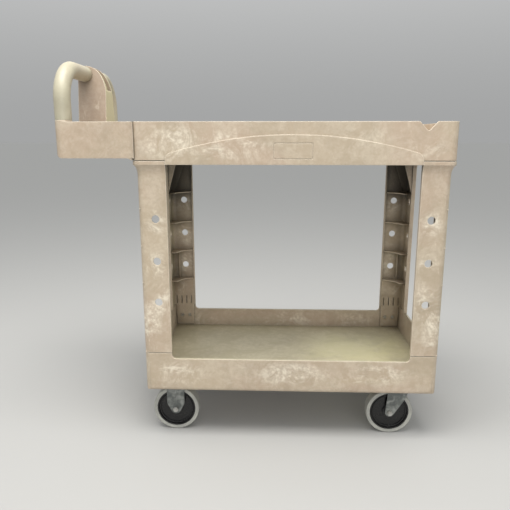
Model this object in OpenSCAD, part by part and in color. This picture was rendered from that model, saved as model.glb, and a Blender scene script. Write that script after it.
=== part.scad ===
// Two-shelf utility cart moulded in structural plastic.
// +X runs from the handle end to the far end, +Y to the rear, +Z up.
// The origin is on the ground, under the middle of the whole length.

/* [Overall] */
// Length of the top tray, without the handle deck
tray_l = 799; // [640:1:980]
// Length of the handle deck that overhangs the tray
deck_l = 192; // [165:1:260]
// Width over the top tray's side panels
cart_w = 454; // [380:1:560]
// Height of the top tray's rim above the ground
rim_h = 846; // [700:1:1020]

/* [Top tray] */
// Depth from the rim to the tray's floor
tray_depth = 70; // [40:1:85]
// Thickness of the tray's side walls
tray_wall = 5; // [4:0.5:8]
// Thickness of the tray's floor
tray_floor_t = 5; // [4:0.5:8]
// Height of the apron from the rim down
apron_h = 104; // [94:1:130]
// Radius of the tray's upright corners
tray_r = 20; // [12:1:40]
// How far the arched side panel stands proud
panel_t = 2; // [0.6:0.2:3]
// Height from the apron's foot to the top of the arched panel
arch_h = 73; // [50:1:85]
// Radius of the arch's sweep
arch_r = 1075; // [800:5:1600]
// Radius of the arch's shoulders
arch_corner = 20; // [10:1:30]
// Length of the blank label panel
label_l = 97; // [60:1:140]
// Height of the blank label panel
label_h = 40; // [20:1:48]
// Width of the groove round the label panel
label_groove = 2; // [1:0.5:3]
// Width of the V notch in the rim
notch_w = 52; // [36:1:64]
// Depth of the V notch
notch_h = 21; // [10:1:30]
// Distance from the far end to the notch's middle
notch_x = 76; // [60:1:160]

/* [Handle deck] */
// How far the deck's sides stand in from the tray's sides
deck_inset = 5; // [3:1:12]
// Height of the deck's sides
deck_h = 89; // [80:1:100]
// Radius of the deck's lower end edge
deck_edge_r = 17; // [6:1:20]
// Drop from the rim to the deck's plate
deck_drop = 8; // [5:1:20]
// Thickness of the deck's plate and its side walls
deck_t = 4; // [3:0.5:6]
// Depth of the deck's storage pockets
pocket_depth = 62; // [30:1:66]
// Diameter of the cup well
cup_d = 78; // [60:1:84]

/* [Handle] */
// Diameter of the handle's tube
grip_d = 41; // [32:1:46]
// Height of the tube's axis above the rim at its top
grip_rise = 132; // [110:1:180]
// Radius of the tube's bend at the corner
grip_bend = 82; // [60:1:95]
// Height of the tube's foot above the rim
grip_foot = 4; // [2:1:10]
// Length of the centre post, along the cart
post_l = 79; // [60:1:100]
// Width of the centre post at the rim's height, on the tray side
post_w = 84; // [76:1:100]
// Width of the centre post at the rim's height, on the handle end
post_end_w = 72; // [66:1:90]
// Angle at which the post's sides draw in on the way up, in degrees
post_draw = 7.7; // [4:0.1:8]
// Height of the post above the rim
post_h = 155; // [130:1:200]
// Depth of the channel in the post's shoulder
channel_d = 9; // [4:1:14]

/* [Uprights] */
// How far the uprights and the bottom tray stand in from the top tray's ends
foot_in_x = 9.5; // [6:0.5:20]
// How far they stand in from the top tray's sides
foot_in_y = 7; // [5:0.5:20]
// Width of an upright's side face
face_w = 74; // [60:1:110]
// Width of an upright's end face at its head
end_w_head = 99; // [75:1:130]
// Width of an upright's end face at its foot
end_w_foot = 88; // [70:1:130]
// Thickness of the upright's wall
upright_t = 4; // [3:0.5:6]
// Radius of the upright's outer corner
upright_r = 18; // [10:1:30]
// Depth of the stiffening lips along the free edges
lip_d = 11; // [7:1:20]
// Height of the bead at the upright's head
bead_h = 9; // [6:1:14]
// Height of the cove under the bead
cove_h = 24; // [12:1:40]
// Diameter of the accessory holes
hole_d = 20; // [12:1:24]
// Distance between accessory holes
hole_pitch = 110; // [80:1:140]
// Distance from the upright's outer corner to the holes
hole_in = 44; // [36:1:50]
// Height of the middle accessory hole
hole_z = 495.5; // [440:0.5:560]
// Distance between the inner ribs
rib_pitch = 97.5; // [70:0.5:130]
// Distance from the lowest accessory hole down to the first inner rib
rib_drop = 47; // [30:1:60]
// Thickness of the inner ribs
rib_t = 3; // [2:0.5:5]

/* [Bottom tray] */
// Height of the seam between uprights and bottom tray
seam_h = 244; // [230:1:280]
// How far the rim dips between the uprights
rim_dip = 16; // [10:1:24]
// Radius of the corners where the rim dips
rim_dip_r = 11; // [4:1:12]
// Height of the skirt's lower edge
skirt_z = 135; // [132:1:150]
// Height of the bottom tray's floor
low_floor_z = 172; // [168:1:195]
// Thickness of the bottom tray's walls
low_wall = 5; // [4:0.5:8]
// Thickness of the bottom tray's floor
low_floor_t = 5; // [4:0.5:8]
// How far the end walls lean in at the floor
end_lean = 5; // [2:1:30]
// How far the side walls lean in at the floor
side_lean = 3; // [1:1:12]
// Radius of the bottom tray's upright corners
low_r = 18; // [10:1:30]
// Radius of the skirt's lower edge
skirt_r = 11; // [8:1:14]

/* [Casters] */
// Diameter of the wheels
wheel_d = 127; // [100:1:130]
// Width of the wheels
wheel_w = 32; // [24:1:38]
// Thickness of the rubber tyre
tyre_t = 10; // [6:1:14]
// Radius of the tyre's shoulders
tyre_r = 3; // [1:0.5:5]
// Height of the caster plates above the ground
mount_z = 160; // [158:1:163]
// Distance from the bottom tray's handle end to the fixed axles
fixed_in = 73.5; // [60:0.5:100]
// Distance from the bottom tray's far end to the swivel pins
swivel_in = 78; // [76:1:110]
// How far the swivel axle trails its pin
trail = 34; // [26:1:40]
// Distance between the middles of the two wheels of a pair
track = 330; // [240:1:332]
// Length of the caster plates
plate_l = 92; // [80:1:110]
// Width of the caster plates
plate_w = 66; // [58:1:80]
// Thickness of the caster plates
plate_t = 3.5; // [2.5:0.5:5]
// Distance between plate screws along the cart
screw_x = 75; // [66:1:80]
// Distance between plate screws across the cart
screw_y = 50; // [46:1:52]
// Thickness of the fork's sheet steel
fork_t = 2.5; // [2:0.5:4]
// Gap between the wheel and the fork on each side
fork_gap = 3; // [2:0.5:5]
// Diameter of the axle bolt
axle_d = 8; // [6:1:10]
// Outer diameter of the axle sleeve
sleeve_d = 12; // [11:1:14]
// Outer diameter of the wheel bush
bush_d = 18; // [16:1:22]
// Diameter of the king pin
pin_d = 12; // [8:1:14]
// Diameter of the bearing balls
ball_d = 6; // [5:0.5:7]

/* [Fits] */
// Radial clearance of a running fit
run_fit = 0.05; // [0.02:0.01:0.1]
// Gap between moulded pieces that meet
seam_gap = 0.3; // [0.1:0.1:1]
// Height of the shadow line where an upright meets a tray
shadow_gap = 1.4; // [0.5:0.1:2]
// Gap between the swivel's balls and the turning fork
ball_gap = 0.3; // [0.2:0.1:0.5]

/* [Hidden] */
$fn = 64;
facets = 32;
eps = 0.01;

tan_col = [0.78, 0.71, 0.60];
cream_col = [0.85, 0.80, 0.64];
steel_col = [0.62, 0.64, 0.63];
rubber_col = [0.62, 0.62, 0.58];
black_col = [0.07, 0.07, 0.08];
brass_col = [0.75, 0.60, 0.35];

// Places along the cart
far_x = (tray_l + deck_l) / 2;
tray_x0 = far_x - tray_l;
deck_x0 = -far_x;
mid_x = tray_x0 + tray_l / 2;

// Top tray
body_w = cart_w - 2 * panel_t;
floor_z = rim_h - tray_depth;
under_z = floor_z - tray_floor_t;
apron_z = rim_h - apron_h;
deck_w = body_w - 2 * deck_inset;
deck_z = rim_h - deck_h;
deck_plate_z = rim_h - deck_drop;

// Bottom tray and uprights
low_l = tray_l - 2 * foot_in_x;
low_w = cart_w - 2 * foot_in_y;
low_x0 = mid_x - low_l / 2;
low_x1 = mid_x + low_l / 2;
low_rim_z = seam_h - rim_dip;
turn_in = 8;
upright_top = under_z;
foot_z = seam_h + shadow_gap;
side_top_in = low_wall + 1;
first_rib_z = hole_z - hole_pitch - rib_drop;
spigot_t = 3.5;
spigot_y = side_top_in + side_lean + 0.5;
foot_screw_z = (low_floor_z + seam_h) / 2;

// Screws
wood_screw_d = 5;
screw_head_d = 10;
screw_head_h = 3.5;

// Handle
grip_r = grip_d / 2;
grip_x = deck_x0 + grip_r;
grip_y = deck_w / 2 - grip_r;
grip_top_z = rim_h + grip_rise;
grip_foot_z = rim_h + grip_foot;
post_x1 = deck_x0 + post_l;
post_shoulder = 76;
post_r1 = post_x1 - grip_x - 8;
post_r2 = (pow(post_x1 - grip_x, 2) + pow(post_shoulder - post_r1, 2) - pow(post_r1, 2)) / 16;
post_flare = atan((post_w - post_end_w) / 2 / post_l);
spigot_r = grip_r - 6;

// Pockets in the deck
pocket_x0 = deck_x0 + 58;
pocket_x1 = tray_x0 - 18;
pocket_y0 = 60;
pocket_y1 = deck_w / 2 - 14;
cup_x = tray_x0 - 18 - cup_d / 2;

// Casters
wheel_r = wheel_d / 2;
wheel_y = track / 2;
fixed_x = low_x0 + fixed_in;
pin_x = low_x1 - swivel_in;
swivel_x = pin_x - trail;
fork_in = wheel_w / 2 + fork_gap;
fork_out = fork_in + fork_t;
plate_z = mount_z - plate_t;
crown_top = plate_z - ball_d - ball_gap;
crown_z = crown_top - 3;
plate_screw_d = 7;
screw_len = 16;
hex_head_d = 13;
hex_head_h = 5.5;
nut_h = 7;
low_head_h = 2.2;

// ---------- plain shapes ----------

// Rectangle about the origin with four round corners.
module round_rect(l, w, r) {
    square([l - 2 * r, w], center = true);
    square([l, w - 2 * r], center = true);
    for (sx = [-1, 1], sy = [-1, 1]) {
        translate([sx * (l / 2 - r), sy * (w / 2 - r)]) circle(r);
    }
}

// Rectangle from the origin with its corner at the origin rounded.
module corner_rect(l, w, r) {
    translate([r, 0]) square([l - r, w]);
    translate([0, r]) square([l, w - r]);
    translate([r, r]) circle(r);
}

// Rectangle that stands on the x axis with its two lower corners rounded.
module bowl_rect(l, h, r) {
    translate([-l / 2, r]) square([l, h - r]);
    translate([-l / 2 + r, 0]) square([l - 2 * r, h]);
    for (s = [-1, 1]) {
        translate([s * (l / 2 - r), r]) circle(r);
    }
}

// Outline in X and Z, extruded across Y about y = 0.
module across(w) {
    translate([0, w / 2, 0]) rotate([90, 0, 0]) linear_extrude(w) children();
}

// Outline in Y and Z, extruded along X from x = 0.
module along(l) {
    rotate([90, 0, 90]) linear_extrude(l) children();
}

// Block with round upright corners, from z0 up.
module round_block(l, w, r, z0, h) {
    translate([0, 0, z0]) linear_extrude(h) round_rect(l, w, r);
}

// ---------- top tray and handle deck ----------

// Outline of the arched side panel, in X and Z from the apron's foot, between the uprights.
module arch_outline() {
    half = low_l / 2 - face_w;
    shoulder_x = half - arch_corner;
    shoulder_z = arch_h - arch_r + sqrt(pow(arch_r - arch_corner, 2) - pow(shoulder_x, 2));
    meet_x = shoulder_x * arch_r / (arch_r - arch_corner) - 2;
    intersection() {
        translate([-half, 0]) square([2 * half, arch_h]);
        union() {
            intersection() {
                translate([0, arch_h - arch_r]) circle(arch_r);
                translate([-meet_x, -1]) square([2 * meet_x, arch_h + 2]);
            }
            for (s = [-1, 1]) {
                translate([s * shoulder_x, shoulder_z]) circle(arch_corner);
            }
            translate([-half, -1]) square([2 * half, shoulder_z + 1]);
        }
    }
}

// Outline of the V notch, from the rim down, with a round root and round shoulders.
module notch_outline() {
    root_r = 6;
    shoulder_r = 9;
    a = notch_w / 2;
    k = notch_h - root_r - shoulder_r;
    slope = atan(k / a) + asin((root_r + shoulder_r) / sqrt(pow(a, 2) + pow(k, 2)));
    // the flank runs a little inside both arcs, so that it crosses them cleanly
    near = 0.1;
    root = [(root_r - near) * sin(slope), -notch_h + root_r - (root_r - near) * cos(slope)];
    shoulder = [a - (shoulder_r - near) * sin(slope), 0.3 - shoulder_r + (shoulder_r - near) * cos(slope)];
    difference() {
        polygon([
            [-root[0], root[1]], root, shoulder, [a, 0], [a, 3],
            [-a, 3], [-a, 0], [-shoulder[0], shoulder[1]]
        ]);
        for (s = [-1, 1]) {
            translate([s * a, 0.3 - shoulder_r]) circle(shoulder_r);
        }
    }
    translate([0, -notch_h + root_r]) circle(root_r);
}

// Solid outer shape of the tray without its panels.
module tray_block() {
    translate([mid_x, 0, 0]) round_block(tray_l, body_w, tray_r, apron_z, apron_h);
}

// Solid outer shape of the handle deck, with its lower end edge rounded and a cove on to the tray.
module deck_block() {
    reach = deck_l + tray_r + 5;
    blend = 15;
    blend_x = tray_x0 - blend + tray_r / 2 - 3;
    blend_r = (pow(blend, 2) + pow(deck_inset, 2)) / (2 * deck_inset);
    drop = 6;
    drop_r = (pow(blend, 2) + pow(drop, 2)) / (2 * drop);
    intersection() {
        translate([deck_x0, 0, 0]) translate([reach / 2, 0, deck_z])
            across(deck_w) {
                translate([-reach / 2, deck_edge_r]) square([reach, deck_h - deck_edge_r]);
                translate([-reach / 2 + deck_edge_r, 0]) square([reach - deck_edge_r, deck_h]);
                translate([-reach / 2 + deck_edge_r, deck_edge_r]) circle(deck_edge_r);
            }
        translate([deck_x0 + reach, 0, 0]) round_block(2 * reach, deck_w, tray_r, deck_z - 1, deck_h + 2);
    }
    for (s = [-1, 1]) {
        translate([blend_x, s * (deck_w / 2), deck_z]) difference() {
            translate([0, s > 0 ? -tray_r : -deck_inset, 0]) cube([blend, tray_r + deck_inset, deck_h]);
            translate([0, s * blend_r, -1]) cylinder(r = blend_r, h = deck_h + 2, $fn = 96);
        }
    }
    // the deck's lower edge curves down on to the tray
    translate([tray_x0 - blend, 0, deck_z]) across(deck_w) difference() {
        translate([0, -drop - 1]) square([blend + 2, drop + 2]);
        translate([0, 0.4 - drop_r]) circle(drop_r);
    }
}

// Ribs that stiffen the tray's floor from below.
module tray_ribs() {
    rib_h = 16;
    t = 3;
    inner = tray_l - 2 * tray_wall;
    for (i = [1:5]) {
        translate([tray_x0 + tray_wall + inner * i / 6 - t / 2, -body_w / 2 + tray_wall - 1, under_z - rib_h])
            cube([t, body_w - 2 * tray_wall + 2, rib_h + 1]);
    }
    for (s = [-1, 0, 1]) {
        translate([tray_x0 + tray_wall - 1, s * body_w / 6 - t / 2, under_z - rib_h])
            cube([inner + 2, t, rib_h + 1]);
    }
}

// Walls of the deck's pockets and of its cup well.
module pocket_walls(grow, z0, h) {
    l = pocket_x1 - pocket_x0 + 2 * grow;
    w = pocket_y1 - pocket_y0 + 2 * grow;
    for (s = [-1, 1]) {
        translate([(pocket_x0 + pocket_x1) / 2, s * (pocket_y0 + pocket_y1) / 2, 0])
            round_block(l, w, 12 + grow, z0, h);
    }
    translate([cup_x, 0, z0]) cylinder(d = cup_d + 2 * grow, h = h);
}

module top_shelf() color(tan_col) difference() {
    union() {
        difference() {
            union() {
                tray_block();
                deck_block();
            }
            // open underside of the tray
            translate([mid_x, 0, 0])
                round_block(tray_l - 2 * tray_wall, body_w - 2 * tray_wall, tray_r - tray_wall,
                    apron_z - 1, under_z - apron_z + 1);
            // open underside of the deck
            translate([(deck_x0 + tray_x0) / 2, 0, 0])
                round_block(deck_l - 2 * deck_t, deck_w - 2 * deck_t, tray_r - deck_t,
                    deck_z - 10, deck_plate_z - deck_t - deck_z + 10);
            // room above the deck's plate
            translate([(deck_x0 + tray_x0) / 2, 0, 0])
                round_block(deck_l - 2 * deck_t, deck_w - 2 * deck_t, tray_r - deck_t,
                    deck_plate_z, deck_drop + 1);
        }
        tray_ribs();
        pocket_walls(3, deck_plate_z - pocket_depth - 3, pocket_depth + 3 - eps);
        for (s = [-1, 1]) {
            // boss under each hoop's foot
            translate([grip_x, s * grip_y, deck_plate_z - 30])
                cylinder(r = grip_r, h = grip_foot_z - deck_plate_z + 30);
            // arched panel
            translate([mid_x, s * (body_w / 2 + panel_t / 2 - 0.5), apron_z]) across(panel_t + 1) arch_outline();
        }
    }
    // tray
    translate([mid_x, 0, 0])
        round_block(tray_l - 2 * tray_wall, body_w - 2 * tray_wall, tray_r - tray_wall, floor_z, tray_depth + 1);
    pocket_walls(0, deck_plate_z - pocket_depth, pocket_depth + deck_drop + 20);
    for (s = [-1, 1]) {
        translate([far_x - notch_x, s * body_w / 2, rim_h]) across(4 * tray_wall) notch_outline();
        label_cut(s);
    }
    upright_seats();
    handle_pilots();
    head_pilots();
}

// Groove round the blank label panel.
module label_cut(s) {
    z = apron_z + (arch_h - label_h) / 2 - 3;
    translate([mid_x, s * cart_w / 2, z + label_h / 2]) across(1.2) difference() {
        round_rect(label_l, label_h, 4);
        round_rect(label_l - 2 * label_groove, label_h - 2 * label_groove, 3);
    }
}

// Room for the beads at the uprights' heads.
module upright_seats() {
    for (sx = [-1, 1], sy = [-1, 1]) {
        at_corner(sx, sy) translate([-foot_in_x - 1, -foot_in_y - 1, apron_z - 1]) {
            cube([foot_in_x + face_w + 1 + seam_gap, foot_in_y + lip_d, bead_h + 1 + shadow_gap]);
            cube([foot_in_x + lip_d, foot_in_y + end_w_head + 1 + seam_gap, bead_h + 1 + shadow_gap]);
        }
    }
}

function head_screw_at() = [[30, 26], [56, 26]];

module head_pilots() {
    for (sx = [-1, 1], sy = [-1, 1]) {
        at_corner(sx, sy) for (p = head_screw_at()) {
            translate([p[0], p[1], under_z - 1]) cylinder(d = wood_screw_d, h = tray_floor_t - 0.5);
        }
    }
}

// Screws of the handle go up through the deck's plate and bosses.
module handle_pilots() {
    for (s = [-1, 1]) {
        translate([grip_x, s * grip_y, deck_plate_z - 31]) cylinder(d = wood_screw_d, h = 50);
        translate([grip_x, s * grip_y, deck_plate_z - 31]) cylinder(d = screw_head_d + 1, h = 12);
        translate([(deck_x0 + post_x1) / 2, s * post_w / 4, deck_plate_z - deck_t - 1])
            cylinder(d = wood_screw_d, h = deck_t + 2);
    }
}

// ---------- handle ----------

// Half width of the post at a place along the cart and a height.
function post_half(x, z) = post_w / 2 - tan(post_draw) * (z - rim_h) + tan(post_flare) * (x - post_x1);

// Half space at the post's side face, pushed outwards by a distance: way 1 is outside, -1 inside.
module post_side(s, out, way) {
    size = 4 * post_l;
    translate([post_x1, s * (post_w / 2 + out), rim_h]) rotate([s * post_draw, 0, s * post_flare])
        translate([-size, s * way > 0 ? 0 : -size, -size]) cube([2 * size, size, 3 * size]);
}

// Outline of the post's shoulder on the tray side, drawn in by a depth: two arcs that meet smoothly.
module post_curve(depth) {
    tall = post_shoulder - post_r1;
    wide = post_x1 - grip_x - post_r2;
    meet = tall + post_r1 * tall / sqrt(pow(tall, 2) + pow(wide, 2));
    intersection() {
        translate([wide, 0]) circle(post_r2 - depth, $fn = 96);
        square([2 * post_l, meet]);
    }
    intersection() {
        translate([0, tall]) circle(post_r1 - depth, $fn = 96);
        translate([0, tall]) square(2 * post_l);
    }
}

// Side outline of the post in X and Z.
module post_outline() {
    top_z = rim_h + post_h;
    curve_z = top_z - post_shoulder;
    translate([deck_x0, rim_h + seam_gap]) square([grip_r, top_z - grip_r - rim_h - seam_gap]);
    translate([grip_x, top_z - grip_r]) circle(grip_r);
    translate([deck_x0 + deck_t + 1, deck_plate_z]) square([post_l - deck_t - 1, curve_z - deck_plate_z]);
    translate([grip_x - 1, curve_z - 1]) square([2, top_z - curve_z + 1]);
    translate([grip_x, curve_z]) post_curve(0);
}

module handle_post() color(tan_col) {
    channel_z = rim_h + 90;
    channel_x = grip_x + grip_r + 3;
    socket_y = post_half(grip_x, grip_top_z) - 8;
    difference() {
        across(2 * post_w) post_outline();
        for (s = [-1, 1]) {
            post_side(s, 0, 1);
            // socket for the hoop's end
            translate([grip_x, s * socket_y, grip_top_z]) rotate([s * -90, 0, 0])
                cylinder(r = spigot_r + seam_gap, h = post_w);
            translate([(deck_x0 + post_x1) / 2, s * post_w / 4, deck_plate_z - 1])
                cylinder(d = wood_screw_d, h = 21);
        }
        // channel down the shoulder, open at the top
        difference() {
            across(2 * post_w) difference() {
                translate([channel_x, channel_z]) square(2 * post_l);
                translate([grip_x, rim_h + post_h - post_shoulder]) post_curve(channel_d);
            }
            for (s = [-1, 1]) {
                post_side(s, -7, 1);
            }
        }
    }
}

// Hoop: up from the deck, round the corner and level to the post, with a spigot into its socket.
module hoop(s) color(cream_col) {
    bore_h = 20;
    post_y = post_half(grip_x, grip_top_z);
    difference() {
        union() {
            difference() {
                translate([grip_x, s * (grip_y - grip_bend), grip_top_z]) rotate([s * 90, 0, 0])
                    cylinder(r = grip_r, h = grip_y - grip_bend);
                post_side(s, seam_gap, -1);
            }
            translate([grip_x, s * grip_y, grip_foot_z])
                cylinder(r = grip_r, h = grip_top_z - grip_bend - grip_foot_z);
            translate([grip_x, s * (grip_y - grip_bend), grip_top_z - grip_bend])
                rotate([90, 0, s > 0 ? 90 : -90])
                    rotate_extrude(angle = 90, $fn = 96) translate([grip_bend, 0]) circle(grip_r, $fn = 96);
            translate([grip_x, s * (post_y - 8 + seam_gap), grip_top_z]) rotate([s * -90, 0, 0])
                cylinder(r = spigot_r, h = 30);
        }
        translate([grip_x, s * grip_y, grip_foot_z - 1]) cylinder(d = wood_screw_d, h = bore_h + 1);
    }
}

// One pan-head screw: head at z = 0 downwards, shank up.
module pan_screw(len) {
    translate([0, 0, -0.5]) cylinder(d = wood_screw_d, h = len + 0.5);
    translate([0, 0, -screw_head_h]) cylinder(d = screw_head_d, h = screw_head_h);
}

module handle_screws() color(steel_col) {
    for (s = [-1, 1]) {
        translate([grip_x, s * grip_y, deck_plate_z - 19]) pan_screw(40);
        translate([(deck_x0 + post_x1) / 2, s * post_w / 4, deck_plate_z - deck_t]) pan_screw(20);
    }
}

// ---------- uprights ----------

// Puts a piece at one of the four corners: x runs inwards from the end, y inwards from the side.
module at_corner(sx, sy) {
    translate([mid_x + sx * low_l / 2, sy * low_w / 2, 0])
        mirror([sx > 0 ? 1 : 0, 0, 0]) mirror([0, sy > 0 ? 1 : 0, 0]) children();
}

// Ring of the upright's outline, pushed outwards by two offsets, as a thin slice for the cove.
module head_slice(ox, oy, z) {
    translate([-ox, -oy, z]) linear_extrude(0.1)
        corner_rect(face_w + ox, end_w_head + oy, upright_r, $fn = facets);
}

// Share of the bead's overhang at each level of the cove, from its foot up.
COVE = [[0, 0], [0.42, 0.14], [0.78, 0.48], [1, 1]];

module upright_head() {
    difference() {
        union() {
            for (i = [0:2]) {
                hull() {
                    head_slice(foot_in_x * COVE[i][1], foot_in_y * COVE[i][1],
                        apron_z - cove_h + cove_h * COVE[i][0]);
                    head_slice(foot_in_x * COVE[i + 1][1], foot_in_y * COVE[i + 1][1],
                        apron_z - cove_h + cove_h * COVE[i + 1][0]);
                }
            }
            translate([-foot_in_x, -foot_in_y, apron_z])
                linear_extrude(bead_h) corner_rect(face_w + foot_in_x, end_w_head + foot_in_y, tray_r);
        }
        translate([upright_t, upright_t, apron_z - cove_h - 1])
            linear_extrude(cove_h + bead_h + 2) corner_rect(face_w, end_w_head, upright_r - upright_t);
    }
}

// Shape of the end wall: wider at the head than at the foot.
module end_wall_outline() {
    polygon([
        [0, foot_z], [end_w_foot, foot_z], [end_w_head, apron_z], [end_w_head, upright_top], [0, upright_top]
    ]);
}

// Lip along the end wall's free edge.
module end_lip_outline() {
    polygon([
        [end_w_foot - upright_t, foot_z], [end_w_foot, foot_z], [end_w_head, apron_z],
        [end_w_head, upright_top], [end_w_head - upright_t, upright_top], [end_w_head - upright_t, apron_z]
    ]);
}

module upright_ribs() {
    reach_x = face_w - upright_t - 4;
    reach_y = 62;
    for (i = [0:3]) {
        translate([upright_t - 1, upright_t - 1, first_rib_z + i * rib_pitch]) difference() {
            cube([reach_x, reach_y, rib_t]);
            translate([reach_x + 10, reach_y + 8, -1]) cylinder(r = 54, h = rib_t + 2, $fn = 96);
        }
    }
    // upright web between the two lower ribs
    translate([24, upright_t - 1, first_rib_z]) cube([rib_t, 16, rib_pitch]);
    // tab under the third rib
    translate([34, upright_t - 1, first_rib_z + 2 * rib_pitch]) rotate([-90, 0, 0]) linear_extrude(12)
        polygon([[-8, -eps], [8, -eps], [0, 12]]);
}

// Gusset plates from the end wall to the plate at the head.
module upright_gussets() {
    // place across the cart, reach along the cart, height of the lower end
    for (g = [[upright_t + 8, 66, upright_top - 164], [end_w_head - 2 * upright_t, 49, upright_top - 151]]) {
        translate([0, g[0] + upright_t, 0]) rotate([90, 0, 0]) linear_extrude(upright_t) polygon([
            [upright_t - 1, g[2]], [upright_t + 2, g[2]], [min(g[1], face_w - 6), upright_top],
            [upright_t - 1, upright_top]
        ]);
    }
}

// Plate inside the bottom tray, its outer edge clear of the leaning end wall, and the slotted plate above it, which
// reaches the lowest rib.
module upright_spigot() {
    k = spigot_y - side_top_in;
    edge_x = low_r - sqrt(k * (2 * (low_r - low_wall) - k)) + 1;
    foot_x = max(edge_x + 0.5, low_wall + end_lean + 1);
    inner_x = face_w - upright_t;
    slots = 4;
    slot_w = 3;
    slot_h = 28;
    pitch = (inner_x - upright_t) / slots;
    translate([0, spigot_y + spigot_t / 2, 0]) across(spigot_t) {
        polygon([
            [foot_x, low_floor_z + 4], [edge_x, seam_h - 8], [edge_x, seam_h + 1],
            [inner_x, seam_h + 1], [inner_x, low_floor_z + 4]
        ]);
        difference() {
            translate([upright_t + 1, seam_h]) square([face_w - 2 * upright_t, first_rib_z - seam_h + 1]);
            for (i = [0:slots - 1]) {
                translate([upright_t + (i + 0.5) * pitch - slot_w / 2, seam_h + 5]) square([slot_w, slot_h]);
            }
        }
    }
    translate([upright_t - 1, upright_t - 1, seam_h]) cube([face_w - upright_t, spigot_y - upright_t + 2, 4]);
}

module upright() color(tan_col) difference() {
    union() {
        // L-shaped wall
        translate([0, 0, foot_z]) linear_extrude(upright_top - foot_z) difference() {
            corner_rect(face_w, 2 * upright_r, upright_r);
            translate([upright_t, upright_t]) corner_rect(face_w, 2 * upright_r, upright_r - upright_t);
        }
        intersection() {
            along(upright_t) end_wall_outline();
            translate([0, upright_r, 0]) cube([upright_t, 2 * end_w_head, upright_top]);
        }
        along(lip_d) end_lip_outline();
        translate([face_w - upright_t, 0, foot_z]) cube([upright_t, lip_d, upright_top - foot_z]);
        upright_head();
        upright_ribs();
        upright_gussets();
        upright_spigot();
        // plate at the head that screws to the tray
        translate([upright_t - 1, upright_t - 1, upright_top - 3])
            cube([face_w - upright_t, end_w_head - upright_t, 3]);
    }
    for (i = [-1, 0, 1]) {
        translate([hole_in, -1, hole_z + i * hole_pitch]) rotate([-90, 0, 0])
            cylinder(d = hole_d, h = upright_t + 2);
        translate([-1, hole_in, hole_z + i * hole_pitch]) rotate([0, 90, 0])
            cylinder(d = hole_d, h = upright_t + 2);
    }
    for (p = head_screw_at()) {
        translate([p[0], p[1], upright_top - 4]) cylinder(d = wood_screw_d, h = 5);
    }
    for (p = foot_screw_at()) {
        translate([p, 0, foot_screw_z]) rotate([-90, 0, 0])
            cylinder(d = wood_screw_d, h = spigot_y + spigot_t + 2);
    }
}

function foot_screw_at() = [30, 55];

module upright_head_screws() color(steel_col) {
    for (sx = [-1, 1], sy = [-1, 1]) {
        at_corner(sx, sy) for (p = head_screw_at()) {
            translate([p[0], p[1], upright_top - 3]) pan_screw(tray_floor_t + 1);
        }
    }
}

module upright_foot_screws() color(steel_col) {
    len = spigot_y + spigot_t - 2;
    for (sx = [-1, 1], sy = [-1, 1]) {
        at_corner(sx, sy) for (p = foot_screw_at()) {
            translate([p, spigot_y + spigot_t, foot_screw_z])
                rotate([90, 0, 0]) pan_screw(len);
        }
    }
}

// ---------- bottom tray ----------

// Solid outer shape with a rounded lower edge, shrunk by a distance.
module skirt_block(inset, z0, z1) {
    l = low_l - 2 * inset;
    w = low_w - 2 * inset;
    r = max(skirt_r - inset, 1);
    intersection() {
        translate([mid_x, 0, 0]) round_block(l, w, low_r - inset, z0, z1 - z0);
        translate([mid_x, 0, z0]) across(w + 2) bowl_rect(l, z1 - z0, r);
        translate([mid_x - l / 2 - 1, 0, z0]) along(l + 2) bowl_rect(w, z1 - z0, r);
    }
}

// Tray pocket, whose end walls lean more than its side walls.
module low_pocket() {
    depth = seam_h - low_floor_z;
    top_l = low_l - 2 * low_wall;
    top_w = low_w - 2 * side_top_in;
    intersection() {
        translate([mid_x, 0, low_floor_z]) across(low_w) polygon([
            [-top_l / 2 + end_lean, 0], [top_l / 2 - end_lean, 0],
            [top_l / 2, depth], [top_l / 2, depth + 1], [-top_l / 2, depth + 1], [-top_l / 2, depth]
        ]);
        translate([mid_x - top_l / 2, 0, low_floor_z]) along(top_l) polygon([
            [-top_w / 2 + side_lean, 0], [top_w / 2 - side_lean, 0],
            [top_w / 2, depth], [top_w / 2, depth + 1], [-top_w / 2, depth + 1], [-top_w / 2, depth]
        ]);
        translate([mid_x, 0, 0]) round_block(top_l, top_w, low_r - low_wall, low_floor_z - 1, depth + 3);
    }
}

module caster_pads() {
    pad_h = low_floor_z - low_floor_t - mount_z;
    for (x = [fixed_x, pin_x], s = [-1, 1]) {
        translate([x, s * wheel_y, 0]) round_block(plate_l + 8, plate_w + 8, 6, mount_z, pad_h + 1);
    }
}

module low_ribs() {
    h = 12;
    t = 3;
    for (i = [1:5]) {
        translate([low_x0 + low_l * i / 6 - t / 2, -low_w / 2 + low_wall - 1, low_floor_z - low_floor_t - h])
            cube([t, low_w - 2 * low_wall + 2, h + 1]);
    }
    for (s = [-1, 0, 1]) {
        translate([low_x0 + low_wall - 1, s * low_w / 6 - t / 2, low_floor_z - low_floor_t - h])
            cube([low_l - 2 * low_wall + 2, t, h + 1]);
    }
}

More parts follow.
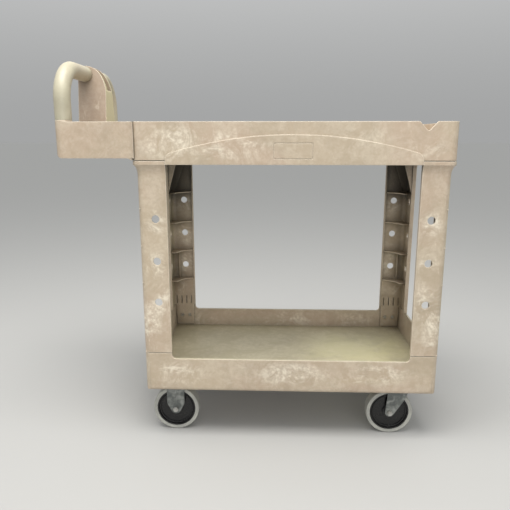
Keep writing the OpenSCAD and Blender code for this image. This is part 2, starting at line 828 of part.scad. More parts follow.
module bottom_shelf() color(tan_col) difference() {
    union() {
        difference() {
            skirt_block(0, skirt_z, seam_h);
            // open underside, with the skirt's foot turned in a little
            skirt_block(low_wall, skirt_z + low_wall, low_floor_z - low_floor_t);
            translate([mid_x, 0, 0]) round_block(low_l - 2 * turn_in, low_w - 2 * turn_in, low_r - turn_in,
                skirt_z - 1, 2 * skirt_r);
        }
        intersection() {
            low_ribs();
            translate([mid_x, 0, 0]) round_block(low_l - 2, low_w - 2, low_r - 1, skirt_z + skirt_r, seam_h);
        }
        caster_pads();
    }
    low_pocket();
    // the rim dips between the uprights
    for (s = [-1, 1]) {
        translate([mid_x, s * low_w / 2, low_rim_z]) across(2 * side_top_in + 4 * side_lean)
            bowl_rect(low_l - 2 * face_w, rim_dip + 1, rim_dip_r);
    }
    for (x = [fixed_x, pin_x], s = [-1, 1]) {
        translate([x, s * wheel_y, 0]) plate_screw_places() translate([0, 0, mount_z - 1])
            cylinder(d = plate_screw_d, h = screw_len - plate_t - 2);
    }
    for (sx = [-1, 1], sy = [-1, 1]) {
        at_corner(sx, sy) for (p = foot_screw_at()) {
            translate([p, 1.5, foot_screw_z]) rotate([-90, 0, 0]) cylinder(d = wood_screw_d, h = spigot_y);
        }
    }
}

// ---------- casters ----------

module plate_screw_places() {
    for (sx = [-1, 1], sy = [-1, 1]) {
        translate([sx * screw_x / 2, sy * screw_y / 2, 0]) children();
    }
}

// Hexagon head or nut across the corners of a given width across flats.
module hexagon(flats, h) {
    cylinder(r = flats / sqrt(3), h = h, $fn = 6);
}

// Four hex screws through a caster plate, heads below.
module plate_screws(x, s) color(steel_col) translate([x, s * wheel_y, 0]) plate_screw_places() {
    translate([0, 0, plate_z - hex_head_h]) hexagon(hex_head_d, hex_head_h);
    translate([0, 0, plate_z - 0.5]) cylinder(d = plate_screw_d, h = screw_len - 3.5);
}

// Tyre section in radius and width, with round shoulders.
module tyre_section() {
    translate([wheel_r - tyre_t, -wheel_w / 2 + 1]) square([tyre_t - tyre_r, wheel_w - 2]);
    translate([wheel_r - tyre_r - 1, -wheel_w / 2 + tyre_r]) square([tyre_r + 1, wheel_w - 2 * tyre_r]);
    for (s = [-1, 1]) {
        translate([wheel_r - tyre_r, s * (wheel_w / 2 - tyre_r)]) circle(tyre_r);
    }
}

module tyre(x, s) color(rubber_col) translate([x, s * wheel_y, wheel_r]) rotate([90, 0, 0])
    rotate_extrude($fn = 128) tyre_section();

module wheel_core(x, s) color(black_col) translate([x, s * wheel_y, wheel_r]) rotate([90, 0, 0])
    rotate_extrude($fn = 128) {
        rim_r = wheel_r - tyre_t;
        // rim, ring, web and boss
        translate([rim_r - 4, -wheel_w / 2 + 1]) square([4, wheel_w - 2]);
        translate([rim_r - 10, -wheel_w / 2 + 2.5]) square([3.5, wheel_w - 5]);
        translate([bush_d / 2, -wheel_w / 2 + 6]) square([rim_r - bush_d / 2 - 2, wheel_w - 12]);
        translate([bush_d / 2, -wheel_w / 2]) square([9, wheel_w]);
    }

module bush(x, s) color(brass_col) translate([x, s * wheel_y, wheel_r]) rotate([90, 0, 0])
    rotate_extrude($fn = 96)
        translate([sleeve_d / 2 + run_fit, -wheel_w / 2 - 1])
            square([(bush_d - sleeve_d) / 2 - run_fit, wheel_w + 2]);

module axle_sleeve(x, s) color(steel_col) translate([x, s * wheel_y, wheel_r]) rotate([90, 0, 0])
    rotate_extrude($fn = 96)
        translate([axle_d / 2, -fork_in]) square([(sleeve_d - axle_d) / 2, 2 * fork_in]);

// Axle bolt, either with a hex head or with a low round head and a socket.
module axle_bolt(x, s, low_head) color(steel_col) translate([x, s * wheel_y, wheel_r]) rotate([s * 90, 0, 0]) {
    translate([0, 0, -fork_out - nut_h - 3]) cylinder(d = axle_d, h = 2 * fork_out + nut_h + 3.5);
    if (low_head) {
        translate([0, 0, fork_out]) difference() {
            cylinder(d = hex_head_d + 1, h = low_head_h);
            translate([0, 0, low_head_h - 1.5]) hexagon(6, 2);
        }
    } else {
        translate([0, 0, fork_out]) hexagon(hex_head_d, hex_head_h);
    }
}

module axle_nut(x, s) color(steel_col) translate([x, s * wheel_y, wheel_r]) rotate([s * 90, 0, 0])
    difference() {
        translate([0, 0, -fork_out - nut_h]) hexagon(hex_head_d, nut_h);
        translate([0, 0, -fork_out - nut_h - 1]) cylinder(d = axle_d, h = nut_h + 2);
    }

// Leg of the fixed fork, about the axle: straight sides that taper to a round tip.
module fixed_leg() {
    half = 24.5;
    tip_r = 14;
    hull() {
        circle(tip_r, $fn = facets);
        translate([-half, 17]) square([2 * half, 1]);
    }
    translate([-half, 17]) square([2 * half, mount_z - wheel_r - 17 - 1]);
}

// Leg of the swivel fork, about the axle: raked towards the king pin.
module swivel_leg() {
    tip_r = 12;
    top = crown_z - wheel_r + 1;
    hull() {
        circle(tip_r, $fn = facets);
        translate([-5, top - 1]) square([4, 1]);
        translate([trail + 2, 35]) square([1, 1]);
    }
    polygon([[-5, top - 2], [-2, 35], [trail + 3, 36], [trail + 12.5, 57.5], [trail + 23, top], [-5, top]]);
}

// Pressed rib that stiffens a fork leg, about the axle, from one point in X and Z to another.
module leg_rib(a, b) {
    for (p = [a, b]) {
        translate([p[0], 0, p[1]]) rotate([90, 0, 0]) cylinder(r = 4, h = 1.2);
    }
    translate([a[0], 0, a[1]]) rotate([0, atan2(b[0] - a[0], b[1] - a[1]), 0])
        translate([-3.8, -1.2, 0]) cube([7.6, 1.2, norm(b - a)]);
}

// The two legs, each with its rib.
module fork_legs(rib_a, rib_b) {
    for (side = [-1, 1]) {
        translate([0, side * (fork_in + fork_t / 2), 0]) across(fork_t) children();
        mirror([0, side > 0 ? 1 : 0, 0]) translate([0, -fork_out, 0]) leg_rib(rib_a, rib_b);
    }
}

module axle_hole() {
    rotate([90, 0, 0]) translate([0, 0, -fork_out - 1]) cylinder(d = axle_d, h = 2 * fork_out + 2);
}

module plate_with_holes() {
    difference() {
        round_block(plate_l, plate_w, 6, plate_z, plate_t);
        plate_screw_places() translate([0, 0, plate_z - 1]) cylinder(d = plate_screw_d, h = plate_t + 2);
    }
}

module fixed_fork(s) color(steel_col) translate([fixed_x, s * wheel_y, 0]) difference() {
    union() {
        plate_with_holes();
        translate([0, 0, wheel_r]) fork_legs([0, 24], [0, 60]) fixed_leg();
    }
    translate([0, 0, wheel_r]) axle_hole();
}

module swivel_top_plate(s) color(steel_col) translate([pin_x, s * wheel_y, 0]) difference() {
    union() {
        plate_with_holes();
        // race that holds the balls
        translate([0, 0, plate_z - 2]) cylinder(r = 27, h = 2 + eps);
    }
    translate([0, 0, plate_z - 3]) cylinder(d = pin_d, h = plate_t + 4);
    translate([0, 0, plate_z - ball_d / 2]) rotate_extrude($fn = 96) translate([20, 0]) circle(d = ball_d);
}

module king_pin(s) color(steel_col) translate([pin_x, s * wheel_y, 0]) {
    translate([0, 0, crown_z - 3]) cylinder(d = pin_d, h = mount_z - crown_z + 3 - eps);
    translate([0, 0, crown_z - 5 - seam_gap]) cylinder(d = pin_d + 12, h = 5);
}

module ball_ring(s) color(steel_col) translate([pin_x, s * wheel_y, plate_z - ball_d / 2]) {
    count = 14;
    for (i = [0:count - 1]) {
        rotate([0, 0, 360 * i / count]) translate([20, 0, 0]) sphere(d = ball_d, $fn = facets);
    }
}

module swivel_fork(s) color(steel_col) translate([pin_x, s * wheel_y, 0]) difference() {
    union() {
        translate([0, 0, crown_z]) cylinder(r = 30, h = 3);
        translate([-trail + 1, -fork_out, crown_z]) cube([trail + 18, 2 * fork_out, 3]);
        translate([-trail, 0, wheel_r]) fork_legs([4, 22], [8, 45]) swivel_leg();
    }
    translate([0, 0, crown_z - 1]) cylinder(r = pin_d / 2 + run_fit, h = 5);
    translate([-trail, 0, wheel_r]) axle_hole();
}

// ---------- what is drawn ----------

top_shelf();
bottom_shelf();
hoop(-1);  // handle_hoop_front
hoop(1);  // handle_hoop_rear
handle_post();
handle_screws();
at_corner(-1, -1) upright();  // upright_front_handle
at_corner(-1, 1) upright();  // upright_rear_handle
at_corner(1, -1) upright();  // upright_front_far
at_corner(1, 1) upright();  // upright_rear_far
upright_head_screws();
upright_foot_screws();
fixed_fork(-1);  // fixed_front_fork
axle_bolt(fixed_x, -1, false);  // fixed_front_axle_bolt
axle_nut(fixed_x, -1);  // fixed_front_axle_nut
axle_sleeve(fixed_x, -1);  // fixed_front_axle_sleeve
plate_screws(fixed_x, -1);  // fixed_front_plate_screws
tyre(fixed_x, -1);  // fixed_front_tyre
wheel_core(fixed_x, -1);  // fixed_front_wheel_core
bush(fixed_x, -1);  // fixed_front_bush
fixed_fork(1);  // fixed_rear_fork
axle_bolt(fixed_x, 1, false);  // fixed_rear_axle_bolt
axle_nut(fixed_x, 1);  // fixed_rear_axle_nut
axle_sleeve(fixed_x, 1);  // fixed_rear_axle_sleeve
plate_screws(fixed_x, 1);  // fixed_rear_plate_screws
tyre(fixed_x, 1);  // fixed_rear_tyre
wheel_core(fixed_x, 1);  // fixed_rear_wheel_core
bush(fixed_x, 1);  // fixed_rear_bush
swivel_top_plate(-1);  // swivel_front_top_plate
plate_screws(pin_x, -1);  // swivel_front_plate_screws
king_pin(-1);  // swivel_front_king_pin
ball_ring(-1);  // swivel_front_balls
swivel_fork(-1);  // swivel_front_fork
axle_bolt(swivel_x, -1, true);  // swivel_front_axle_bolt
axle_nut(swivel_x, -1);  // swivel_front_axle_nut
axle_sleeve(swivel_x, -1);  // swivel_front_axle_sleeve
tyre(swivel_x, -1);  // swivel_front_tyre
wheel_core(swivel_x, -1);  // swivel_front_wheel_core
bush(swivel_x, -1);  // swivel_front_bush
swivel_top_plate(1);  // swivel_rear_top_plate
plate_screws(pin_x, 1);  // swivel_rear_plate_screws
king_pin(1);  // swivel_rear_king_pin
ball_ring(1);  // swivel_rear_balls
swivel_fork(1);  // swivel_rear_fork
axle_bolt(swivel_x, 1, true);  // swivel_rear_axle_bolt
axle_nut(swivel_x, 1);  // swivel_rear_axle_nut
axle_sleeve(swivel_x, 1);  // swivel_rear_axle_sleeve
tyre(swivel_x, 1);  // swivel_rear_tyre
wheel_core(swivel_x, 1);  // swivel_rear_wheel_core
bush(swivel_x, 1);  // swivel_rear_bush
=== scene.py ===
# %% [markdown]
# # A two-shelf utility cart
#
# This lesson dresses a finished CAD model of a utility cart: two deep trays of tan moulded plastic, four L-shaped
# uprights, a hooped push handle and four casters. The CAD gives every piece its true place and size, so the lesson is
# about light, softened edges and worn finishes.

# %% Load the cart and measure it
from math import radians

import bpy
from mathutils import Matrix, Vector


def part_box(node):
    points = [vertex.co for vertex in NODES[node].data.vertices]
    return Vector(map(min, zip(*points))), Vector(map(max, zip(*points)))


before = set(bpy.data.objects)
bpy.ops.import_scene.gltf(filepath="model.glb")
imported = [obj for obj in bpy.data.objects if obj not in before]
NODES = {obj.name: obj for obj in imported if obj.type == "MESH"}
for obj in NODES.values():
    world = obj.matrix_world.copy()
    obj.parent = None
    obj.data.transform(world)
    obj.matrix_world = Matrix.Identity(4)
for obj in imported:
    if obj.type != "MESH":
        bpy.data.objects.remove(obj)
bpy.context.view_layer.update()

# %% [markdown]
# ## The camera
#
# The cart is seen from the front, a little above its top tray and almost level. A short lens close up would bend the
# uprights outwards, and a long lens would flatten the trays, so the lens here is a plain normal one, one and a half
# metres away. A camera in Blender looks down its own -Z, so a level camera is turned 90 degrees about X, less the
# tilt towards the ground.

# %% Camera
TILT_DOWN = 12.38
TURN_LEFT = 2.15
camera_data = bpy.data.cameras.new("front_camera")
camera_data.lens = 37.89
camera_data.sensor_width = 36.0
camera = bpy.data.objects.new("front_camera", camera_data)
camera.location = (0.0528, -1.5576, 0.8086)
camera.rotation_euler = (radians(90 - TILT_DOWN), 0, radians(TURN_LEFT))
bpy.context.scene.collection.objects.link(camera)
bpy.context.scene.camera = camera
print("camera at", tuple(camera.location), "lens", camera_data.lens)

# %% [markdown]
# ## Floor and light
#
# A cart like this stands in a corridor or a workshop: most light comes down from the ceiling, and the space under each
# tray falls dark. Three things give that here. A large soft lamp hangs overhead, a little to the front, and brightens
# the rims. A weak lamp at the front opens the sides. The world is a plain gradient, dim at the horizon and bright
# overhead, so the far floor and the sky meet at the same grey and no line shows between them. The floor is a wide plain
# sheet.

# %% Floor
def new_mesh_object(name, verts, faces):
    mesh = bpy.data.meshes.new(name)
    mesh.from_pydata(verts, [], faces)
    mesh.update()
    made = bpy.data.objects.new(name, mesh)
    bpy.context.scene.collection.objects.link(made)
    return made


FLOOR_HALF = 80.0
floor_corners = [(x * FLOOR_HALF, y * FLOOR_HALF, 0) for x, y in ((-1, -1), (1, -1), (1, 1), (-1, 1))]
floor = new_mesh_object("studio_floor", floor_corners, [(0, 1, 2, 3)])

floor_paint = bpy.data.materials.new("studio_floor_paint")
floor_paint.use_nodes = True
floor_shader = floor_paint.node_tree.nodes["Principled BSDF"]
floor_shader.inputs["Base Color"].default_value = (0.45, 0.45, 0.44, 1)
floor_shader.inputs["Roughness"].default_value = 0.85
floor.data.materials.append(floor_paint)
print("floor", FLOOR_HALF * 2, "metres wide")

# %% Lamps
def soft_lamp(name, place, aim, width, power, colour):
    lamp = bpy.data.lights.new(name, "AREA")
    lamp.shape = "RECTANGLE"
    lamp.size = width
    lamp.size_y = width * 0.7
    lamp.energy = power
    lamp.color = colour
    holder = bpy.data.objects.new(name, lamp)
    holder.location = place
    holder.rotation_euler = (Vector(aim) - Vector(place)).to_track_quat("-Z", "Y").to_euler()
    bpy.context.scene.collection.objects.link(holder)
    return holder


soft_lamp("ceiling_lamp", (-0.2, -0.8, 3.0), (0.0, 0.0, 0.5), 2.0, 88, (1.0, 0.975, 0.94))
soft_lamp("front_fill", (0.6, -3.4, 1.5), (0.1, 0.0, 0.5), 2.2, 24, (1.0, 0.99, 0.97))

# %% World
HORIZON_GLOW = 0.40
OVERHEAD_GLOW = 0.85
world = bpy.data.worlds.new("pale_room")
bpy.context.scene.world = world
world.use_nodes = True
world_tree = world.node_tree
background = world_tree.nodes["Background"]
background.inputs["Color"].default_value = (0.93, 0.94, 0.94, 1)
direction = world_tree.nodes.new("ShaderNodeTexCoord")
height = world_tree.nodes.new("ShaderNodeSeparateXYZ")
climb = world_tree.nodes.new("ShaderNodeMapRange")
climb.interpolation_type = "SMOOTHSTEP"
climb.inputs["From Min"].default_value = 0.0
climb.inputs["From Max"].default_value = 0.6
climb.inputs["To Min"].default_value = HORIZON_GLOW
climb.inputs["To Max"].default_value = OVERHEAD_GLOW
world_tree.links.new(direction.outputs["Generated"], height.inputs["Vector"])
world_tree.links.new(height.outputs["Z"], climb.inputs["Value"])
world_tree.links.new(climb.outputs["Result"], background.inputs["Strength"])
bpy.context.scene.view_settings.view_transform = "Standard"
print("world glow from", HORIZON_GLOW, "at the horizon to", OVERHEAD_GLOW, "overhead")

# %% [markdown]
# ## A small kit for finishes
#
# Every finish is a network of nodes. Most of them need the same few steps: a place on the object, a noise, a ramp
# that keeps part of it, and a mix of two colours. Short helpers for those keep each finish readable. The place comes
# from Object coordinates, which are metres in the piece's own frame, so a pattern keeps its true size and stays put
# when a wheel turns.

# %% Helpers for finishes
def new_finish(name):
    finish = bpy.data.materials.new(name)
    finish.use_nodes = True
    shader = finish.node_tree.nodes["Principled BSDF"]
    return finish, finish.node_tree, shader


def add_node(tree, kind, **values):
    made = tree.nodes.new(kind)
    for key, value in values.items():
        setattr(made, key, value)
    return made


def place_on(tree, stretch=(1, 1, 1), shift=(0, 0, 0)):
    where = add_node(tree, "ShaderNodeTexCoord")
    scale = add_node(tree, "ShaderNodeMapping")
    scale.inputs["Scale"].default_value = stretch
    scale.inputs["Location"].default_value = shift
    tree.links.new(where.outputs["Object"], scale.inputs["Vector"])
    return scale.outputs["Vector"]


def noise(tree, place, scale, detail=4.0, rough=0.55, warp=0.0):
    made = add_node(tree, "ShaderNodeTexNoise")
    made.inputs["Scale"].default_value = scale
    made.inputs["Detail"].default_value = detail
    made.inputs["Roughness"].default_value = rough
    made.inputs["Distortion"].default_value = warp
    tree.links.new(place, made.inputs["Vector"])
    return made.outputs["Fac"]


def keep_between(tree, value, low, high, out_low=0.0, out_high=1.0):
    made = add_node(tree, "ShaderNodeMapRange", interpolation_type="SMOOTHSTEP")
    made.inputs["From Min"].default_value = low
    made.inputs["From Max"].default_value = high
    made.inputs["To Min"].default_value = out_low
    made.inputs["To Max"].default_value = out_high
    tree.links.new(value, made.inputs["Value"])
    return made.outputs["Result"]


def sum_up(tree, kind, a, b):
    made = add_node(tree, "ShaderNodeMath", operation=kind, use_clamp=kind != "SUBTRACT")
    for socket, value in zip(made.inputs, (a, b)):
        if isinstance(value, (int, float)):
            socket.default_value = value
        else:
            tree.links.new(value, socket)
    return made.outputs["Value"]


def blend_colours(tree, share, first, second):
    made = add_node(tree, "ShaderNodeMix", data_type="RGBA")
    tree.links.new(share, made.inputs["Factor"])
    for socket, value in ((made.inputs[6], first), (made.inputs[7], second)):
        if isinstance(value, tuple):
            socket.default_value = (*value, 1)
        else:
            tree.links.new(value, socket)
    return made.outputs[2]


def rounded_normal(tree, radius):
    made = add_node(tree, "ShaderNodeBevel", samples=5)
    made.inputs["Radius"].default_value = radius
    return made.outputs["Normal"]


def raise_surface(tree, shader, height, depth, strength=0.6, base=None):
    made = add_node(tree, "ShaderNodeBump")
    made.inputs["Distance"].default_value = depth
    made.inputs["Strength"].default_value = strength
    tree.links.new(height, made.inputs["Height"])
    if base is not None:
        tree.links.new(base, made.inputs["Normal"])
    tree.links.new(made.outputs["Normal"], shader.inputs["Normal"])


print("finish helpers ready")

# %% [markdown]
# ## Where wear gathers
#
# Wear isn't even. It gathers where carts bump door frames, round the accessory holes where hooks rub, and along edges,
# which also get a painted highlight.
# A patch is a soft egg-shaped region with a place and a size in metres: the distance from its middle, divided by its
# size, fades from one to nothing. An edge is found by comparing the true surface direction with a rounded one: they
# only differ within a few millimetres of an edge. Hollows are found by how much of the sky a point sees.

# %% Helpers for wear
def egg(tree, place, middle, size):
    offset = add_node(tree, "ShaderNodeVectorMath", operation="SUBTRACT")
    tree.links.new(place, offset.inputs[0])
    offset.inputs[1].default_value = middle
    scaled = add_node(tree, "ShaderNodeVectorMath", operation="DIVIDE")
    tree.links.new(offset.outputs[0], scaled.inputs[0])
    scaled.inputs[1].default_value = size
    length = add_node(tree, "ShaderNodeVectorMath", operation="LENGTH")
    tree.links.new(scaled.outputs[0], length.inputs[0])
    return keep_between(tree, length.outputs["Value"], 0.25, 1.0, 1.0, 0.0)


def eggs(tree, place, patches, floor_value):
    total = floor_value
    for middle, size, share in patches:
        patch = sum_up(tree, "MULTIPLY", egg(tree, place, middle, size), share)
        total = sum_up(tree, "MAXIMUM", patch, total)
    return total


def mirrored_place(tree, middle):
    where = add_node(tree, "ShaderNodeTexCoord")
    offset = add_node(tree, "ShaderNodeVectorMath", operation="SUBTRACT")
    tree.links.new(where.outputs["Object"], offset.inputs[0])
    offset.inputs[1].default_value = middle
    folded = add_node(tree, "ShaderNodeVectorMath", operation="ABSOLUTE")
    tree.links.new(offset.outputs[0], folded.inputs[0])
    return folded.outputs[0]


def edge_share(tree, rounded, low=0.012, high=0.16):
    true = add_node(tree, "ShaderNodeNewGeometry")
    same = add_node(tree, "ShaderNodeVectorMath", operation="DOT_PRODUCT")
    tree.links.new(rounded, same.inputs[0])
    tree.links.new(true.outputs["Normal"], same.inputs[1])
    return keep_between(tree, sum_up(tree, "SUBTRACT", 1.0, same.outputs["Value"]), low, high)


def open_share(tree, reach):
    made = add_node(tree, "ShaderNodeAmbientOcclusion", samples=5)
    made.inputs["Distance"].default_value = reach
    return made.outputs["AO"]


def faces_way(tree, way, low=0.6, high=0.9):
    where = add_node(tree, "ShaderNodeTexCoord")
    same = add_node(tree, "ShaderNodeVectorMath", operation="DOT_PRODUCT")
    tree.links.new(where.outputs["Normal"], same.inputs[0])
    same.inputs[1].default_value = way
    return keep_between(tree, same.outputs["Value"], low, high)


print("wear helpers ready")

# %% [markdown]
# ## Tan moulded plastic
#
# The trays and uprights are foamed structural plastic. New, it is an even pinkish tan with a fine pebble texture. In
# use it gathers chalky clouds where dust was rubbed in, short pale scrapes along the way things slide, and brown dirt.
# Its edges are paled, partly as wear and partly as a painted highlight, and its hollows are a darker brown. Each mark
# is its own noise with its own size. The clouds are strongest inside the patches and are broken up by two finer noises,
# so that they look smeared by hand and not airbrushed.

# %% Tan plastic finish
# painted shade: the near-black colour that stands in for the shade under the top tray
PAINTED_SHADE_COLOUR = (0.035, 0.035, 0.028)


def tan_plastic(name, tan, chalk, grime, cloudiness, scrape_way, seed, patches=(), fold=None, sheen=0.42,
                tint=None, stain=None, painted_under_tray_shade=None):
    finish, tree, shader = new_finish(name)
    place = place_on(tree, shift=(seed, seed * 0.7, seed * 1.3))
    patch_place = mirrored_place(tree, fold) if fold else place_on(tree)
    slow = noise(tree, place, 2.6, 3, 0.5)
    tone = blend_colours(tree, keep_between(tree, slow, 0.3, 0.7), tan, tuple(c * 0.9 for c in tan))
    pink = keep_between(tree, noise(tree, place, 4.5, 5, 0.6, 0.5), 0.42, 0.62, 0, 0.55)
    tone = blend_colours(tree, pink, tone, (tan[0] * 0.98, tan[1] * 0.90, tan[2] * 0.93))
    fine = noise(tree, place, 60, 5, 0.7)
    tone = blend_colours(tree, keep_between(tree, fine, 0.35, 0.7, 0, 0.12), tone, chalk)
    # an olive or yellow cast on faces that look one way
    if tint:
        colour, way, share = tint
        tone = blend_colours(tree, sum_up(tree, "MULTIPLY", faces_way(tree, way), share), tone, colour)
    # one broad stain with a ragged rim
    if stain:
        colour, middle, size = stain
        ragged = keep_between(tree, noise(tree, place, 7, 6, 0.6, 0.6), 0.3, 0.6, 0.45, 1.0)
        stained = sum_up(tree, "MULTIPLY", egg(tree, patch_place, middle, size), ragged)
        tone = blend_colours(tree, stained, tone, colour)
    # chalky clouds
    where = eggs(tree, patch_place, patches, 0.25)
    cloud = keep_between(tree, noise(tree, place, 15, 9, 0.74, 0.8), 0.43, 0.58)
    breakup = keep_between(tree, noise(tree, place, 80, 7, 0.75), 0.38, 0.6, 0.2, 1.0)
    cloud = sum_up(tree, "MULTIPLY", sum_up(tree, "MULTIPLY", cloud, breakup), where)
    cloud = sum_up(tree, "MULTIPLY", cloud, cloudiness)
    tone = blend_colours(tree, cloud, tone, chalk)
    # short scrapes
    scrape_place = place_on(tree, stretch=scrape_way, shift=(seed * 2, 0, seed))
    scrape = keep_between(tree, noise(tree, scrape_place, 22, 5, 0.62, 0.35), 0.64, 0.7)
    scrape = sum_up(tree, "MULTIPLY", scrape, sum_up(tree, "MULTIPLY", where, 0.8))
    tone = blend_colours(tree, scrape, tone, tuple(min(1, c * 1.05) for c in chalk))
    # brown dirt in patches, a darker brown in the hollows, and pale edges that are partly wear and partly a painted
    # highlight
    seen = open_share(tree, 0.05)
    hollow = sum_up(tree, "SUBTRACT", 1.0, keep_between(tree, seen, 0.35, 0.85))
    dirt = keep_between(tree, noise(tree, place, 9, 7, 0.7, 0.4), 0.45, 0.8, 0, 0.3)
    dirt = sum_up(tree, "ADD", sum_up(tree, "MULTIPLY", hollow, 0.6), dirt)
    tone = blend_colours(tree, dirt, tone, grime)
    rounded = rounded_normal(tree, 0.003)
    # pale edges: partly wear, partly a painted highlight where light catches the edges
    edge = sum_up(tree, "MULTIPLY", edge_share(tree, rounded), keep_between(tree, seen, 0.55, 0.95, 0, 0.8))
    tone = blend_colours(tree, edge, tone, tuple(min(1, c * 1.12) for c in chalk))
    # painted shade: high up on the uprights, where the top tray closes them in and little sky is seen, the colour is
    # darkened towards near black
    if painted_under_tray_shade:
        low, high, depth = painted_under_tray_shade
        upright_place = add_node(tree, "ShaderNodeSeparateXYZ")
        tree.links.new(place_on(tree), upright_place.inputs["Vector"])
        high_up = keep_between(tree, upright_place.outputs["Z"], low, high)
        closed_in = sum_up(tree, "SUBTRACT", 1.0, keep_between(tree, open_share(tree, 0.2), 0.45, 0.9))
        dark = sum_up(tree, "MULTIPLY", sum_up(tree, "MULTIPLY", high_up, closed_in), depth)
        tone = blend_colours(tree, dark, tone, PAINTED_SHADE_COLOUR)
    tree.links.new(tone, shader.inputs["Base Color"])
    pebble = noise(tree, place, 900, 2, 0.5)
    ripple = noise(tree, place, 30, 3, 0.5)
    worn = sum_up(tree, "ADD", cloud, sum_up(tree, "MULTIPLY", ripple, 0.3))
    tree.links.new(keep_between(tree, worn, 0.0, 0.9, 0.42, 0.72), shader.inputs["Roughness"])
    shader.inputs["Specular IOR Level"].default_value = sheen
    height = sum_up(tree, "ADD", sum_up(tree, "MULTIPLY", pebble, 0.35), sum_up(tree, "MULTIPLY", ripple, 0.5))
    raise_surface(tree, shader, height, 0.0006, 0.5, rounded)
    return finish


# %% [markdown]
# ## The tan pieces
#
# All the tan pieces share one recipe, with their own patches. The top tray is scuffed most near the handle end of its
# apron. The bottom tray's skirt has three clouds where shoes and door frames meet it, and its floor has gone olive from
# years of spills. The uprights are rubbed white round each hole: their patches are given once and mirrored, so that one
# list serves all four. The post and hoops are younger and cleaner, and the hoops are smooth and yellowed by hands.

# %% Tan finishes
TAN = (0.50, 0.41, 0.298)
CHALK = (0.82, 0.75, 0.62)
GRIME = (0.20, 0.165, 0.115)
middle = (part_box("bottom_shelf")[0][0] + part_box("bottom_shelf")[1][0]) / 2
half_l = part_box("bottom_shelf")[1][0] - middle
half_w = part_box("bottom_shelf")[1][1]
side_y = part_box("top_shelf")[1][1]

tray_patches = []
skirt_patches = []
for y in (-side_y, side_y):
    tray_patches += [
        ((-0.20, y, 0.795), (0.13, 0.03, 0.07), 1.0),
        ((-0.06, y, 0.79), (0.16, 0.03, 0.06), 0.85),
        ((0.27, y, 0.81), (0.10, 0.03, 0.05), 0.5),
        ((0.42, y, 0.78), (0.08, 0.03, 0.05), 0.6),
    ]
    skirt_patches += [
        ((-0.20, y, 0.185), (0.10, 0.04, 0.05), 0.9),
        ((0.10, y, 0.19), (0.15, 0.04, 0.05), 1.0),
        ((0.33, y, 0.19), (0.11, 0.04, 0.045), 1.0),
    ]
HOLE_IN = 0.044
WORN_HEIGHTS = (0.375, 0.485, 0.595)
upright_patches = [((half_l - HOLE_IN, half_w, z), (0.04, 0.03, 0.05), 1.0) for z in WORN_HEIGHTS]
upright_patches += [((half_l, half_w - HOLE_IN, z), (0.03, 0.04, 0.05), 0.8) for z in WORN_HEIGHTS]
upright_patches += [((half_l - 0.02, half_w, 0.32), (0.045, 0.03, 0.10), 1.0)]
upright_patches += [((half_l - 0.05, half_w - 0.01, 0.40), (0.045, 0.03, 0.06), 1.0)]

OLIVE = (0.43, 0.40, 0.26)
tray_finish = tan_plastic("worn_tan_tray", TAN, CHALK, GRIME, 0.85, (0.5, 3, 3), 1.0, tray_patches)
FLOOR_ABOVE_SKIRT = 0.037
floor_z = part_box("bottom_shelf")[0][2] + FLOOR_ABOVE_SKIRT
skirt_finish = tan_plastic("worn_tan_skirt", TAN, CHALK, GRIME, 0.95, (0.6, 3, 2.4), 4.0, skirt_patches,
                           tint=(OLIVE, (0, 0, 1), 0.75),
                           stain=((0.66, 0.61, 0.37), (middle + 0.22, -0.02, floor_z), (0.26, 0.24, 0.03)))
# the uprights get painted shade high up, growing from 0.50 m to full at 0.68 m, where the top tray shades them
upright_finish = tan_plastic("worn_tan_upright_painted_shade", TAN, CHALK, GRIME, 0.95, (3, 3, 0.8), 7.0, upright_patches,
                             fold=(middle, 0, 0), tint=((0.52, 0.47, 0.30), (1, 0, 0), 0.5),
                             painted_under_tray_shade=(0.50, 0.68, 0.92))
post_finish = tan_plastic("tan_post", (0.375, 0.305, 0.23), CHALK, GRIME, 0.12, (2, 2, 1), 11.0,
                          tint=((0.60, 0.56, 0.36), (1, 0, 0), 0.95))
hoop_finish = tan_plastic("hand_worn_hoop", (0.46, 0.43, 0.315), (0.62, 0.58, 0.44), GRIME, 0.3, (2, 2, 2),
                          13.0, sheen=0.7)
print("tan finishes:", [m.name for m in bpy.data.materials])

# %% [markdown]
# ## Rubber, core, zinc and bright steel
#
# The wheels are grey rubber on a black moulded core. The forks are pressed steel with a dull zinc coat, which shows
# cloudy grey patches, and the screws are brighter. One recipe serves all of them: two colours mixed by a cloudy noise,
# a roughness that follows the same clouds, and a fine bump.

# %% Wheel and steel finishes
def plain_worn(name, colour, worn, roughness, metal, scale, depth):
    finish, tree, shader = new_finish(name)
    place = place_on(tree)
    cloud = keep_between(tree, noise(tree, place, scale, 7, 0.65, 0.4), 0.4, 0.72)
    tree.links.new(blend_colours(tree, cloud, colour, worn), shader.inputs["Base Color"])
    rough = keep_between(tree, cloud, 0, 1, roughness, min(1, roughness + 0.2))
    tree.links.new(rough, shader.inputs["Roughness"])
    shader.inputs["Metallic"].default_value = metal
    grain = noise(tree, place, scale * 14, 4, 0.6)
    raise_surface(tree, shader, grain, depth, 0.6, rounded_normal(tree, 0.0012))
    return finish


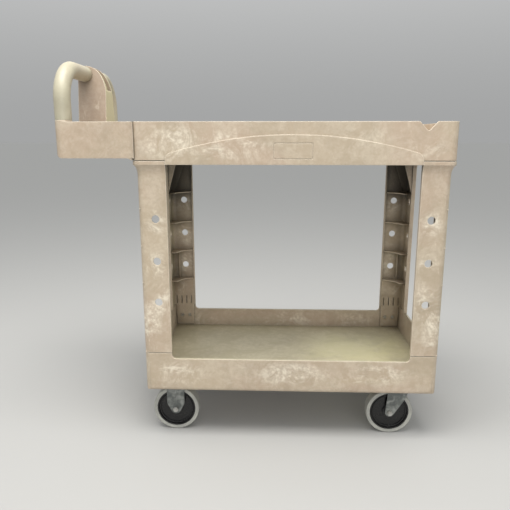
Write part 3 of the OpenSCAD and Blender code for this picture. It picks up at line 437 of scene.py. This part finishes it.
tyre_finish = plain_worn("grey_tyre", (0.36, 0.36, 0.33), (0.48, 0.48, 0.43), 0.55, 0, 24, 0.0004)
core_finish = plain_worn("black_core", (0.0025, 0.0025, 0.003), (0.007, 0.007, 0.007), 0.22, 0, 30, 0.0003)
zinc_finish = plain_worn("dull_zinc", (0.13, 0.14, 0.135), (0.36, 0.37, 0.35), 0.34, 0.7, 45, 0.0003)
bright_finish = plain_worn("bright_zinc", (0.52, 0.52, 0.50), (0.40, 0.38, 0.34), 0.3, 0.9, 40, 0.0002)
bronze_finish = plain_worn("dull_bronze", (0.36, 0.24, 0.11), (0.25, 0.18, 0.10), 0.45, 0.8, 40, 0.0002)

# %% Put the finishes on
def is_upright(name):
    return name.startswith("upright") and "screws" not in name


def finish_for(name):
    if name == "top_shelf":
        return tray_finish
    if name == "bottom_shelf":
        return skirt_finish
    if name.startswith("handle_hoop"):
        return hoop_finish
    if name == "handle_post":
        return post_finish
    if is_upright(name):
        return upright_finish
    if name.endswith("tyre"):
        return tyre_finish
    if name.endswith("wheel_core"):
        return core_finish
    if name.endswith("bush"):
        return bronze_finish
    if name.endswith("fork") or name.endswith("top_plate"):
        return zinc_finish
    return bright_finish


for name in NODES:
    piece = bpy.data.objects[name]
    if not piece.material_slots:
        print("no slot on", name)
    for slot in piece.material_slots:
        slot.link = "OBJECT"
        slot.material = finish_for(name)
print("finishes put on", len(NODES), "nodes")

# %% [markdown]
# ## Softer edges
#
# Moulded plastic has no knife edges, and a real edge catches a thin line of light. The CAD solids have sharp edges,
# so a bevel rounds each one in place, by less than two millimetres. The solids come as loose triangles, so their
# corners are welded first, and weighted normals keep the flat faces flat.

# %% Round the edges
def soften(name, width, segments=2):
    piece = bpy.data.objects[name]
    weld = piece.modifiers.new("join_corners", "WELD")
    weld.merge_threshold = 0.00002
    bevel = piece.modifiers.new("soft_edges", "BEVEL")
    bevel.width = width
    bevel.segments = segments
    bevel.limit_method = "ANGLE"
    bevel.angle_limit = radians(35)
    bevel.use_clamp_overlap = True
    bevel.harden_normals = False
    normals = piece.modifiers.new("flat_faces", "WEIGHTED_NORMAL")
    normals.keep_sharp = False


for name in NODES:
    if name in ("top_shelf", "bottom_shelf", "handle_post") or is_upright(name):
        soften(name, 0.0014)
    elif name.endswith("fork") or name.endswith("wheel_core"):
        soften(name, 0.0006)
